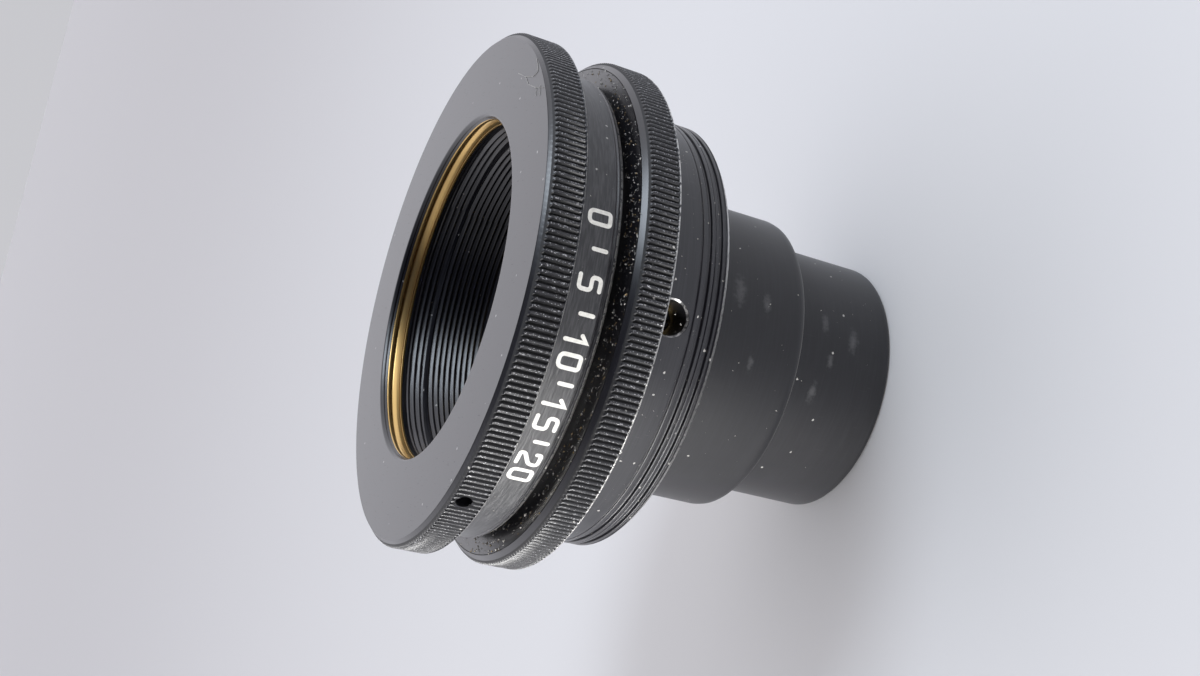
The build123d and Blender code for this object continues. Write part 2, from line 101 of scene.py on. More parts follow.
# Corners of the turned sections: radius, depth and softening
SECTIONS = {
    "front_ring": (
        (20.6, 0.42, 0.15), (20.9, 0.0, 0.15), (30.26, 0.0, 0.07), (FRONT_RADIUS, 0.74, 0.05),
        (FRONT_RADIUS, 4.15, 0.03), (30.9, 4.25, 0.03), (24.5, 4.25, 0), (24.5, 0.76, 0),
        (20.6, 0.76, 0),
    ),
    "brass_ring": (
        (20.72, 0.77, 0.04), (24.45, 0.77, 0.05), (24.45, 1.64, 0), (23.95, 2.05, 0),
        (24.45, 2.46, 0), (24.45, 2.84, 0.05), (20.72, 2.84, 0.04), (20.6, 2.74, 0.05),
        (20.6, 2.52, 0.03), (20.74, 2.46, 0.02), (20.6, 2.4, 0.03), (20.68, 2.0, 0.1),
        (20.86, 1.62, 0.1), (21.15, 1.32, 0.06), (20.62, 1.24, 0.05), (20.6, 0.92, 0.05),
    ),
    "main_body": (
        (20.6, 2.86, 0), (24.42, 2.86, 0), (24.42, 4.27, 0), (COLLAR_RADIUS, 4.27, 0.06),
        (COLLAR_RADIUS, 8.93, 0.03), (28.03, 9.1, 0.04), (COLLAR_RADIUS, 9.27, 0.04),
        (27.9, 9.9, 0.1), (25.0, 9.9, 0.05), (25.0, 11.85, 0), (21.5, 11.85, 0),
        (21.5, 19.2, 0.08), (19.8, 19.2, 0.1),
    ),
    "focus_ring": (
        (25.2, 11.0, 0.05), (30.0, 11.0, 0.08), (FOCUS_RADIUS, 11.9, 0.06),
        (FOCUS_RADIUS, 15.2, 0.03), (30.8, 15.3, 0.03), (26.55, 15.3, 0), (26.55, 11.95, 0),
        (25.2, 11.95, 0),
    ),
    "outer_tube": (
        (17.0, 19.62, 0.05), (17.9, 19.62, 0.05), (17.9, 21.38, 0), (TUBE_RADIUS, 21.42, 0.05),
        (TUBE_RADIUS, 30.0, 0), (TUBE_RADIUS, 39.0, 0.85), (15.33, 38.98, 0.04),
        (15.33, 38.02, 0), (17.0, 38.02, 0),
    ),
    "lens_barrel": (
        (11.5, 29.52, 0.1), (16.93, 29.52, 0.05), (16.93, 37.96, 0), (15.27, 37.98, 0),
        (15.27, 39.18, 0), (BARREL_RADIUS, 39.22, 0.03), (BARREL_RADIUS, 46.0, 0),
        (BARREL_RADIUS, 53.0, 0.42), (13.5, 53.0, 0.12), (13.5, 49.06, 0), (13.21, 49.06, 0),
        (13.21, 31.52, 0), (11.5, 31.52, 0.05),
    ),
}


# Section and mesh helpers


def height(depth):
    """Height in metres of a point at a depth behind the front face."""
    return FRONT_Z - depth * MM


def on_lens(radius, azimuth, depth):
    """Point of the frame, in metres."""
    turn = math.radians(azimuth)
    return Vector((radius * MM * math.cos(turn), radius * MM * math.sin(turn), height(depth)))


def softened(corners, closed=True):
    """Rows of a section whose corners (radius, depth, softening) are rounded.

    The end corners of an open section stay sharp.
    """
    rows = []
    count = len(corners)
    for i, (radius, depth, soft) in enumerate(corners):
        if not soft or not closed and i in (0, count - 1):
            rows.append((radius, depth))
            continue
        here = np.array((radius, depth), float)
        legs = []
        for other in (corners[i - 1], corners[(i + 1) % count]):
            leg = np.array(other[:2], float) - here
            span = np.linalg.norm(leg)
            legs.append((leg / span, min(soft, 0.45 * span), span))
        (back, back_reach, back_span), (ahead, ahead_reach, ahead_span) = legs
        start, end = here + back * back_reach, here + ahead * ahead_reach
        if back_span > 4 * back_reach:
            rows.append(tuple(here + back * back_reach * 1.6))
        for t in (0.0, 0.33, 0.67, 1.0):
            curve = (1 - t) ** 2 * start + 2 * t * (1 - t) * here + t**2 * end
            rows.append(tuple(curve))
        if ahead_span > 4 * ahead_reach:
            rows.append(tuple(here + ahead * ahead_reach * 1.6))
    return rows


def lathe_mesh(name, radii, depths, angles, closed=True, sharp=38.0):
    """Mesh of a grid of rows by columns, given as arrays in millimetres and radians."""
    radii, depths = np.broadcast_arrays(radii, depths)
    rows, columns = radii.shape
    x = radii * np.cos(angles) * MM
    y = radii * np.sin(angles) * MM
    z = FRONT_Z - depths * MM
    points = np.stack((x, y, z), axis=-1).reshape(-1, 3)
    mean_r, mean_z = radii.mean(axis=1), z.mean(axis=1)
    area = np.sum(mean_r * np.roll(mean_z, -1) - np.roll(mean_r, -1) * mean_z)
    last = rows if closed else rows - 1
    i, j = np.meshgrid(np.arange(last), np.arange(columns), indexing="ij")
    k, m = (i + 1) % rows, (j + 1) % columns
    quads = np.stack((i * columns + j, i * columns + m, k * columns + m, k * columns + j), axis=-1)
    quads = quads.reshape(-1, 4)
    if area < 0:
        quads = quads[:, ::-1]
    mesh = bpy.data.meshes.new(name)
    mesh.from_pydata(points.tolist(), [], quads.tolist())
    mesh.polygons.foreach_set("use_smooth", [True] * len(quads))
    mesh.set_sharp_from_angle(angle=math.radians(sharp))
    mesh.validate()
    return mesh


def turned_mesh(name, corners, segments, sharp=38.0):
    """Turned solid of a closed section with softened corners."""
    rows = np.array(softened(corners))
    angles = np.linspace(0, 2 * math.pi, segments, endpoint=False)
    radii = np.repeat(rows[:, :1], segments, axis=1)
    depths = np.repeat(rows[:, 1:], segments, axis=1)
    return lathe_mesh(name, radii, depths, angles, sharp=sharp)


def knurled_mesh(name, corners, edge, teeth, rear, settings):
    """Turned ring with a straight knurl, whose grooves run out through the bevel before its land.

    edge is the index of the corner where the bevel meets the land, and rear is the depth behind the
    front face at which the grooves end.
    """
    land, first = corners[edge][:2]
    bevel_radius, bevel_depth = corners[edge - 1][:2]
    rows = [(radius, depth, 0.0, 0.0) for radius, depth in softened(corners[:edge])]
    for t, share in zip(BEVEL_STATIONS, BEVEL_CUTS):
        radius = bevel_radius + t * (land - bevel_radius)
        rows.append((radius, bevel_depth + t * (first - bevel_depth), share, 1.0))
    for step, share in ((0.07, 0.94), (0.2, 1.0)):
        rows.append((land, first + step, share, 1 - 5 * step))
    rows.append((land, (first + rear) / 2, 1.0, 0.0))
    for step, share in ((-0.24, 1.0), (-0.1, 0.8), (-0.03, 0.4), (0.0, 0.0)):
        rows.append((land, rear + step, share, 0.0))
    rows += [(radius, depth, 0.0, 0.0) for radius, depth in softened(corners[edge + 1 :], False)]

    pitch = 2 * math.pi * land / teeth
    half = (pitch - settings.crest_width) / 2
    offsets = np.array((-half, -0.5 * half, 0.0, 0.5 * half, half, pitch / 2))
    shape = np.array((0.05, 0.56, 1.0, 0.56, 0.05, 0.0))
    middles = (np.arange(teeth) + 0.5) * pitch
    angles = (middles[:, None] + offsets[None, :]).reshape(-1) / land
    cuts = np.tile(shape, teeth) * settings.knurl_depth
    radii, depths, turns = [], [], []
    for radius, depth, share, lean in rows:
        groove = land - cuts * share
        radii.append(np.minimum(radius, groove) if share else np.full(len(angles), radius))
        depths.append(np.full(len(angles), depth))
        turns.append(angles + lean * settings.knurl_lean / land)
    return lathe_mesh(name, np.array(radii), np.array(depths), np.array(turns), sharp=62.0)


def drilled(piece, drills, finishes):
    """Cuts round holes with flared mouths.

    A drill is (azimuth, depth, radius, mouth radius, flare, floor). The flare ends at the mouth
    radius and the hole at the floor, both measured from the axis. finishes are those of the wall
    and of the flare.
    """
    sides = 64
    up = Vector((0, 0, 1))
    for azimuth, depth, radius, mouth, flare, floor in drills:
        outside = piece.dimensions.x / MM / 2
        out = on_lens(1, azimuth, 0) - on_lens(0, azimuth, 0)
        out.normalize()
        across = up.cross(out)
        stations = (
            (floor, radius),
            (mouth - flare, radius),
            (mouth, radius + flare),
            (outside + DRILL_REACH, radius + DRILL_WIDENING),
        )
        points = []
        for reach, size in stations:
            for side in range(sides):
                turn = 2 * math.pi * side / sides
                offset = across * math.cos(turn) + up * math.sin(turn)
                points.append(out * reach * MM + offset * size * MM + up * height(depth))
        faces = []
        for low in range(0, (len(stations) - 1) * sides, sides):
            high = low + sides
            for side in range(sides):
                after = (side + 1) % sides
                faces.append((low + side, low + after, high + after, high + side))
        faces.append(tuple(reversed(range(sides))))
        faces.append(tuple(range(high, high + sides)))
        mesh = bpy.data.meshes.new("drill")
        mesh.from_pydata([tuple(p) for p in points], [], faces)
        for finish in finishes:
            mesh.materials.append(finish)
        for face in mesh.polygons:
            face.material_index = 1 if sides <= face.index < 2 * sides else 0
        drill = bpy.data.objects.new("drill", mesh)
        bpy.context.collection.objects.link(drill)
        cut = piece.modifiers.new("hole", "BOOLEAN")
        cut.operation = "DIFFERENCE"
        cut.solver = "EXACT"
        cut.material_mode = "TRANSFER"
        cut.object = drill
        depsgraph = bpy.context.evaluated_depsgraph_get()
        result = bpy.data.meshes.new_from_object(piece.evaluated_get(depsgraph))
        piece.modifiers.remove(cut)
        old = piece.data
        piece.data = result
        bpy.data.meshes.remove(old)
        bpy.data.objects.remove(drill)
        bpy.data.meshes.remove(mesh)
    piece.data.polygons.foreach_set("use_smooth", [True] * len(piece.data.polygons))
    piece.data.set_sharp_from_angle(angle=math.radians(34.0))


def place(name, mesh, body, materials, nodes=()):
    """Links a piece, gives it its finishes, and ties it to its body and nodes."""
    piece = bpy.data.objects.new(name, mesh)
    bpy.context.collection.objects.link(piece)
    for material in materials:
        mesh.materials.append(material)
    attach(piece, body)
    if nodes:
        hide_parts(*nodes)
    return piece


# Shader helpers


class Graph:
    """Adds nodes to a tree in a compact way."""

    def __init__(self, tree):
        self.tree = tree
        self.column = 0

    def add(self, kind, **values):
        node = self.tree.nodes.new(kind)
        node.location = (self.column * 40, -(self.column % 7) * 160)
        self.column += 1
        for key, value in values.items():
            setattr(node, key, value)
        return node

    def link(self, source, target):
        self.tree.links.new(source, target)

    def feed(self, socket, value):
        if isinstance(value, bpy.types.NodeSocket):
            self.link(value, socket)
        else:
            socket.default_value = value

    def math(self, operation, first, second=None, clamp=False):
        node = self.add("ShaderNodeMath", operation=operation, use_clamp=clamp)
        self.feed(node.inputs[0], first)
        if second is not None:
            self.feed(node.inputs[1], second)
        return node.outputs[0]

    def times(self, first, second):
        return self.math("MULTIPLY", first, second)

    def plus(self, first, second):
        return self.math("ADD", first, second)

    def minus(self, first, second, clamp=False):
        return self.math("SUBTRACT", first, second, clamp)

    def ramp(self, value, low, high):
        """0 below low and 1 above high, smoothly."""
        node = self.add("ShaderNodeMapRange", interpolation_type="SMOOTHSTEP")
        self.feed(node.inputs["Value"], value)
        self.feed(node.inputs["From Min"], low)
        self.feed(node.inputs["From Max"], high)
        return node.outputs["Result"]

    def noise(self, vector, scale, detail=3.0, roughness=0.5):
        node = self.add("ShaderNodeTexNoise")
        self.feed(node.inputs["Vector"], vector)
        self.feed(node.inputs["Scale"], scale)
        node.inputs["Detail"].default_value = detail
        node.inputs["Roughness"].default_value = roughness
        return node.outputs["Fac"]

    def blend(self, factor, first, second):
        node = self.add("ShaderNodeMix", data_type="RGBA")
        self.feed(node.inputs["Factor"], factor)
        self.feed(node.inputs["A"], first)
        self.feed(node.inputs["B"], second)
        return node.outputs["Result"]

    def group(self, tree, **values):
        node = self.add("ShaderNodeGroup")
        node.node_tree = tree
        for key, value in values.items():
            self.feed(node.inputs[key.replace("_", " ")], value)
        return node


def effect(name, inputs, outputs):
    """Empty node group with named float sockets, its graph and its two end nodes."""
    tree = bpy.data.node_groups.new(name, "ShaderNodeTree")
    for label, value in inputs:
        socket = tree.interface.new_socket(label, in_out="INPUT", socket_type="NodeSocketFloat")
        socket.default_value = value
    for label in outputs:
        tree.interface.new_socket(label, in_out="OUTPUT", socket_type="NodeSocketFloat")
    graph = Graph(tree)
    start = graph.add("NodeGroupInput")
    end = graph.add("NodeGroupOutput")
    return tree, graph, start, end


def axis_distance(graph):
    """Position in millimetres, the node with its parts, and its distance from the optical axis."""
    coordinates = graph.add("ShaderNodeTexCoord")
    scaled = graph.add("ShaderNodeVectorMath", operation="SCALE")
    graph.link(coordinates.outputs["Object"], scaled.inputs[0])
    scaled.inputs["Scale"].default_value = 1 / MM
    parts = graph.add("ShaderNodeSeparateXYZ")
    graph.link(scaled.outputs[0], parts.inputs[0])
    x, y = parts.outputs["X"], parts.outputs["Y"]
    square = graph.plus(graph.times(x, x), graph.times(y, y))
    return scaled.outputs[0], parts, graph.math("SQRT", square)


def lathe_lines_effect():
    """Fine lines left round the axis by turning and brushing."""
    tree, graph, start, end = effect(
        "Lathe lines", (("Spacing", 8.0), ("Wander", 3.0)), ("Lines", "Broad")
    )
    _, parts, radius = axis_distance(graph)
    vector = graph.add("ShaderNodeCombineXYZ")
    along = graph.times(graph.plus(parts.outputs["Z"], radius), start.outputs["Spacing"])
    for axis in ("X", "Y"):
        unit = graph.math("DIVIDE", parts.outputs[axis], radius)
        graph.link(graph.times(unit, start.outputs["Wander"]), vector.inputs[axis])
    graph.link(along, vector.inputs["Z"])
    graph.link(graph.noise(vector.outputs[0], 1.0, 2.0, 0.6), end.inputs["Lines"])
    graph.link(graph.noise(vector.outputs[0], 0.22, 2.0, 0.5), end.inputs["Broad"])
    return tree


def specks_effect():
    """Scattered dust specks and pits."""
    tree, graph, start, end = effect(
        "Specks", (("Scale", 1.2), ("Amount", 0.2), ("Size", 0.2)), ("Specks",)
    )
    position = axis_distance(graph)[0]
    cells = graph.add("ShaderNodeTexVoronoi")
    graph.link(position, cells.inputs["Vector"])
    graph.link(start.outputs["Scale"], cells.inputs["Scale"])
    shade = graph.add("ShaderNodeSeparateColor")
    graph.link(cells.outputs["Color"], shade.inputs[0])
    chosen = graph.math("LESS_THAN", shade.outputs["Red"], start.outputs["Amount"])
    ragged = graph.times(graph.noise(position, 6.0, 2.0), 0.3)
    distance = graph.plus(cells.outputs["Distance"], ragged)
    near = graph.math("LESS_THAN", distance, graph.plus(start.outputs["Size"], 0.12))
    graph.link(graph.times(chosen, near), end.inputs["Specks"])
    return tree


def edge_wear_effect():
    """Bare metal round one turned edge, given by its radius and height."""
    tree, graph, start, end = effect(
        "Edge wear",
        (("Edge radius", 30.0), ("Edge height", 50.0), ("Reach", 0.3), ("Patchiness", 2.0)),
        ("Worn",),
    )
    position, parts, radius = axis_distance(graph)
    out = graph.minus(radius, start.outputs["Edge radius"])
    up = graph.minus(parts.outputs["Z"], start.outputs["Edge height"])
    gap = graph.math("SQRT", graph.plus(graph.times(out, out), graph.times(up, up)))
    near = graph.minus(1.0, graph.math("DIVIDE", gap, start.outputs["Reach"]), clamp=True)
    patches = graph.noise(position, start.outputs["Patchiness"], 5.0, 0.65)
    worn = graph.times(near, graph.ramp(patches, 0.32, 0.56))
    graph.link(graph.ramp(worn, 0.12, 0.5), end.inputs["Worn"])
    return tree


def scuffs_effect():
    """Soft rubbed patches and thin scratches at odd angles."""
    tree, graph, start, end = effect(
        "Scuffs", (("Patch scale", 0.12), ("Scratch scale", 0.5)), ("Patches", "Scratches")
    )
    position = axis_distance(graph)[0]
    patches = graph.noise(position, start.outputs["Patch scale"], 5.0, 0.62)
    graph.link(graph.ramp(patches, 0.5, 0.78), end.inputs["Patches"])
    total = None
    for turn, stretch in ((0.5, 9.0), (2.1, 12.0)):
        mapped = graph.add("ShaderNodeMapping")
        graph.link(position, mapped.inputs["Vector"])
        mapped.inputs["Rotation"].default_value = (turn, 0.7 * turn, 1.3 * turn)
        mapped.inputs["Scale"].default_value = (stretch, 0.5, 0.9)
        streaks = graph.noise(mapped.outputs[0], start.outputs["Scratch scale"], 2.0)
        line = graph.ramp(streaks, 0.71, 0.76)
        total = line if total is None else graph.math("MAXIMUM", total, line)
    graph.link(total, end.inputs["Scratches"])
    return tree


def rub_mark_effect():
    """Soft broken smear round one spot."""
    tree, graph, start, end = effect(
        "Rub mark", (("X", 0.0), ("Y", 0.0), ("Z", 0.0), ("Reach", 2.0)), ("Mark",)
    )
    position, parts, _ = axis_distance(graph)
    total = None
    for axis, squash in (("X", 0.8), ("Y", 0.8), ("Z", 2.0)):
        gap = graph.minus(parts.outputs[axis], start.outputs[axis])
        gap = graph.times(gap, squash)
        square = graph.times(gap, gap)
        total = square if total is None else graph.plus(total, square)
    span = graph.math("DIVIDE", graph.math("SQRT", total), start.outputs["Reach"])
    broken = graph.plus(span, graph.times(graph.noise(position, 1.4, 5.0, 0.7), 1.3))
    graph.link(graph.minus(1.0, graph.ramp(broken, 0.6, 1.3)), end.inputs["Mark"])
    return tree


def effects():
    """The shared effects, each built once."""
    makers = {
        "Lathe lines": lathe_lines_effect,
        "Specks": specks_effect,
        "Edge wear": edge_wear_effect,
        "Scuffs": scuffs_effect,
        "Rub mark": rub_mark_effect,
    }
    return {name: bpy.data.node_groups.get(name) or make() for name, make in makers.items()}


def new_finish(name):
    """Empty material with its graph and shader."""
    material = bpy.data.materials.new(name)
    material.use_nodes = True
    graph = Graph(material.node_tree)
    return material, graph, material.node_tree.nodes["Principled BSDF"]


def once(maker):
    """Makes a finish give back the material of its name where that is there already."""

    def finish(name, *values, **options):
        return bpy.data.materials.get(name) or maker(name, *values, **options)

    return finish


def opaque(colour):
    """Colour with full alpha."""
    return (*colour, 1.0)


def add_relief(graph, shader, lines, strength):
    """Raises a surface a little along its fine lines."""
    bump = graph.add("ShaderNodeBump")
    bump.inputs["Strength"].default_value = strength
    bump.inputs["Distance"].default_value = 0.03 * MM
    graph.link(lines, bump.inputs["Height"])
    graph.link(bump.outputs["Normal"], shader.inputs["Normal"])


@once
def dark_finish(
    name, colour, roughness, lines=0.0, spacing=8.0, wander=3.0, grain=0.012, specks=0.0,
    scuffs=0.0, worn=None, relief=0.0, land=None, ior=1.62, sheen=0.0, streaks=0.0, marks=()
):
    """Black anodised or painted aluminium.

    worn is an edge as (radius, depth, reach), and marks lists rubbed spots as (radius, azimuth,
    depth, reach). streaks is the strength of short dull streaks. land is the radius of a knurl,
    whose grooves are painted dark as shade, with some dirt, and whose crests have patches painted
    bright as glints, with some rubbing.
    """
    shared = effects()
    material, graph, shader = new_finish(name)
    shader.inputs["IOR"].default_value = ior
    shader.inputs["Sheen Weight"].default_value = sheen
    shader.inputs["Sheen Roughness"].default_value = 0.45
    turned = graph.group(shared["Lathe lines"], Spacing=spacing, Wander=wander).outputs["Lines"]
    rough = graph.plus(roughness - lines / 2, graph.times(turned, lines))
    lighter = opaque(1.4 * c + grain for c in colour)
    tone = graph.blend(graph.ramp(turned, 0.35, 0.75), opaque(colour), lighter)
    if scuffs:
        rubbed = graph.group(shared["Scuffs"])
        patch = graph.times(rubbed.outputs["Patches"], scuffs)
        tone = graph.blend(patch, tone, RUBBED)
        tone = graph.blend(graph.times(rubbed.outputs["Scratches"], scuffs), tone, SCRATCHED)
        rough = graph.plus(rough, graph.times(patch, 0.15))
    if land is not None:
        position, _, radius = axis_distance(graph)
        out = graph.minus(radius, land)
        # Painted highlight: patches on the knurl's crests are painted bright as glints, with some
        # rubbing
        crest = graph.times(graph.ramp(out, -0.05, -0.012), graph.math("LESS_THAN", out, -0.001))
        patches = graph.ramp(graph.noise(position, 5.5, 3.0, 0.6), 0.57, 0.64)
        tone = graph.blend(graph.times(graph.times(crest, patches), 0.8), tone, CREST_GLINT)
        # Painted shade: the knurl's grooves darken to near black and grow rougher towards their
        # roots, with some dirt
        deep_in_groove = graph.minus(1.0, graph.ramp(out, -0.24, -0.06))
        groove_shade = graph.times(deep_in_groove, graph.math("GREATER_THAN", out, -0.4))
        tone = graph.blend(groove_shade, tone, GROOVE_SHADE)
        rough = graph.plus(rough, graph.times(groove_shade, 0.4))
    for radius, azimuth, depth, reach in marks:
        spot = on_lens(radius, azimuth, depth) / MM
        mark = graph.group(shared["Rub mark"], X=spot.x, Y=spot.y, Z=spot.z, Reach=reach)
        tone = graph.blend(graph.times(mark.outputs["Mark"], 0.3), tone, RUBBED)
    if streaks:
        marked = graph.group(shared["Scuffs"], Scratch_scale=1.3)
        rough = graph.plus(rough, graph.times(marked.outputs["Scratches"], streaks))
    if specks:
        dust = graph.group(shared["Specks"], Amount=specks).outputs["Specks"]
        tone = graph.blend(dust, tone, DUST)
        rough = graph.plus(rough, graph.times(dust, 0.3))
    if worn:
        radius, depth, reach = worn
        edge = graph.group(
            shared["Edge wear"], Edge_radius=radius, Edge_height=height(depth) / MM, Reach=reach
        )
        tone = graph.blend(edge.outputs["Worn"], tone, BARE)
        graph.link(edge.outputs["Worn"], shader.inputs["Metallic"])
    graph.link(tone, shader.inputs["Base Color"])
    graph.link(rough, shader.inputs["Roughness"])
    if relief:
        add_relief(graph, shader, turned, relief)
    return material


@once
def brass_finish(name, colour, tarnish, roughness, staining):
    """Turned brass with brown tarnish in patches."""
    material, graph, shader = new_finish(name)
    shader.inputs["Metallic"].default_value = 1.0
    turned = graph.group(effects()["Lathe lines"], Spacing=9.0, Wander=1.5).outputs["Lines"]
    mottle = graph.noise(axis_distance(graph)[0], 0.35, 6.0, 0.6)
    stains = graph.ramp(mottle, 0.5 - staining, 0.8 - staining)
    tone = graph.blend(stains, opaque(colour), opaque(tarnish))
    bright = opaque(min(1.0, 1.25 * c + 0.03) for c in colour)
    tone = graph.blend(graph.ramp(turned, 0.5, 0.8), tone, bright)
    graph.link(tone, shader.inputs["Base Color"])
    graph.link(graph.plus(roughness, graph.times(turned, 0.2)), shader.inputs["Roughness"])
    add_relief(graph, shader, turned, 0.25)
    return material


@once
def steel_finish(name):
    """Blackened steel of the screws, the pin and the bearing ring."""
    material, graph, shader = new_finish(name)
    shader.inputs["Metallic"].default_value = 0.8
    mottle = graph.noise(axis_distance(graph)[0], 1.6, 5.0, 0.6)
    dark, light = (0.05, 0.05, 0.052, 1.0), (0.16, 0.155, 0.15, 1.0)
    tone = graph.blend(graph.ramp(mottle, 0.4, 0.7), dark, light)
    graph.link(tone, shader.inputs["Base Color"])
    graph.link(graph.plus(0.32, graph.times(mottle, 0.2)), shader.inputs["Roughness"])
    return material


@once
def rim_finish(name, colour, roughness):
    """Bare metal of a hole's worn rim, darker in patches."""
    material, graph, shader = new_finish(name)
    worn = graph.ramp(graph.noise(axis_distance(graph)[0], 1.1, 4.0, 0.6), 0.4, 0.6)
    tone = graph.blend(worn, (0.02, 0.02, 0.022, 1.0), opaque(colour))
    graph.link(tone, shader.inputs["Base Color"])
    graph.link(worn, shader.inputs["Metallic"])
    rough = graph.minus(roughness + 0.15, graph.times(worn, 0.15))
    graph.link(rough, shader.inputs["Roughness"])
    return material


@once
def glass_finish(name):
    """Coated optical glass with a few specks of dust."""
    material, graph, shader = new_finish(name)
    shader.inputs["Transmission Weight"].default_value = 1.0
    shader.inputs["IOR"].default_value = 1.55
    shader.inputs["Coat Weight"].default_value = 0.4
    shader.inputs["Coat Tint"].default_value = (0.62, 0.55, 0.95, 1.0)
    dust = graph.group(effects()["Specks"], Scale=0.8, Amount=0.12, Size=0.1).outputs["Specks"]
    tone = graph.blend(dust, (0.97, 0.98, 1.0, 1.0), (0.75, 0.74, 0.7, 1.0))
    graph.link(tone, shader.inputs["Base Color"])
    graph.link(graph.plus(0.02, graph.times(dust, 0.5)), shader.inputs["Roughness"])
    return material


@once
def paint_finish(name, colour, spread, roughness):
    """Dull fill or dust whose colour varies a little from place to place."""
    material, graph, shader = new_finish(name)
    shift = graph.noise(axis_distance(graph)[0], 2.2, 4.0, 0.6)
    darker = opaque(c * (1 - spread) for c in colour)
    tone = graph.blend(graph.ramp(shift, 0.3, 0.7), darker, opaque(colour))
    graph.link(tone, shader.inputs["Base Color"])
    shader.inputs["Roughness"].default_value = roughness
    return material


# Settings


def mm_setting(name, description, default, low, high):
    """Length in millimetres."""
    note = description + " in mm"
    return FloatProperty(name=name, description=note, default=default, min=low, max=high)


def colour_setting(name, description, default):
    """Colour of one thing, which the description names."""
    note = "Colour of the " + description
    return FloatVectorProperty(
        name=name, description=note, subtype="COLOR", size=3, default=default, min=0, max=1
    )


def count_setting(name, description, default, low, high):
    """Whole number within limits."""
    return IntProperty(name=name, description=description, default=default, min=low, max=high)


def power_setting(name, description, default):
    """Power of a lamp in watts."""
    note = "Power of the " + description
    return FloatProperty(
        name=name, description=note, subtype="POWER", unit="POWER", default=default, min=0, max=100
    )


class LensKnurls(bpy.types.PropertyGroup):
    """Sizes of the knurls and of the turned meshes."""

    knurl_depth: mm_setting("Groove depth", "Depth of the knurl's grooves", 0.35, 0.05, 0.6)
    crest_width: mm_setting("Crest width", "Width of the flat between two grooves", 0.24, 0.05, 0.5)
    knurl_lean: mm_setting("Hook", "Sideways lean of a groove's front end", -0.12, -0.5, 0.5)
    segments: count_setting("Segments", "Sides of a turned circle", 384, 64, 1024)
    ridge_pitch: mm_setting("Ridge pitch", "Distance between the ridges of the bore", 0.74, 0.3, 2.0)
    ridge_depth: mm_setting("Ridge depth", "Height of the ridges of the bore", 0.32, 0.0, 0.5)


class LensFinishes(bpy.types.PropertyGroup):
    """Colours of the finishes."""

    ring_black: colour_setting("Rings", "two knurled rings", (0.006, 0.006, 0.008))
    collar_black: colour_setting("Collar", "main body", (0.01, 0.01, 0.012))
    sleeve_black: colour_setting("Sleeve", "focusing sleeve", (0.009, 0.009, 0.012))
    tube_black: colour_setting("Tubes", "tail tubes", (0.006, 0.006, 0.008))
    brass: colour_setting("Brass", "clean brass", (0.6, 0.38, 0.16))
    tarnish: colour_setting("Tarnish", "brass where it is tarnished", (0.3, 0.17, 0.06))
    number_white: colour_setting("Numbers", "fill in the numbers", (0.8, 0.79, 0.74))


class LensDust(bpy.types.PropertyGroup):
    """Amount of loose dirt."""

    seed: IntProperty(name="Seed", description="Seed of the dust's places", default=11)
    chips: count_setting("Chips", "Chips and fibres on the focusing ring's face", 1500, 0, 5000)
    specks: count_setting("Specks", "Specks on the outer surfaces", 420, 0, 5000)


class LensStage(bpy.types.PropertyGroup):
    """Floor, lamps and camera."""

    floor_colour: colour_setting("Floor", "floor", (0.72, 0.715, 0.71))
    focal_length: FloatProperty(
        name="Focal length",
        description="Focal length of the camera in mm on a 36 mm sensor",
        default=44.02,
        min=10,
        max=200,
    )
    key_power: power_setting("Key lamp", "upper lamp", 1.15)
    fill_power: power_setting("Fill lamp", "lower lamp", 2.5)


# Pieces


class LENS_OT_front_ring(bpy.types.Operator):
    """Knurled front ring with its bevel, lip and three screw holes"""

    bl_idname = "lens.front_ring"
    bl_label = "Front ring"

    # Corner of the section where the knurl's land starts, teeth, and depth where the grooves end
    KNURL = (3, 275, 4.08)

    # Screw holes: azimuths, then depth, radius, mouth radius, flare and floor
    HOLE_AZIMUTHS = (-140, -20, 100)
    HOLE = (2.05, 0.9, 30.97, 0.16, 24.0)

    def execute(self, context):
        knurls, finishes = context.scene.lens_knurls, context.scene.lens_finishes
        mesh = knurled_mesh("front_ring", SECTIONS["front_ring"], *self.KNURL, knurls)
        finish = dark_finish(
            "satin_black", finishes.ring_black, 0.3, lines=0.05, spacing=10.0, grain=0.003,
            specks=0.03, relief=0.06, land=FRONT_RADIUS, streaks=0.22, worn=(31.0, 4.2, 0.1)
        )
        piece = place("front_ring", mesh, MOUNT, [finish], ["front_knurled_ring"])
        rim = rim_finish("knurl_hole_rim", (0.1, 0.1, 0.11), 0.4)
        drills = [(azimuth, *self.HOLE) for azimuth in self.HOLE_AZIMUTHS]
        drilled(piece, drills, [finish, rim])
        return {"FINISHED"}


class LENS_OT_brass_ring(bpy.types.Operator):
    """Brass ring behind the lip, with its fine line"""

    bl_idname = "lens.brass_ring"
    bl_label = "Brass ring"

    def execute(self, context):
        knurls, finishes = context.scene.lens_knurls, context.scene.lens_finishes
        mesh = turned_mesh("brass_ring", SECTIONS["brass_ring"], knurls.segments)
        finish = brass_finish("worn_brass", finishes.brass, finishes.tarnish, 0.28, 0.04)
        place("brass_ring", mesh, MOUNT, [finish], ["brass_mount_ring"])
        return {"FINISHED"}


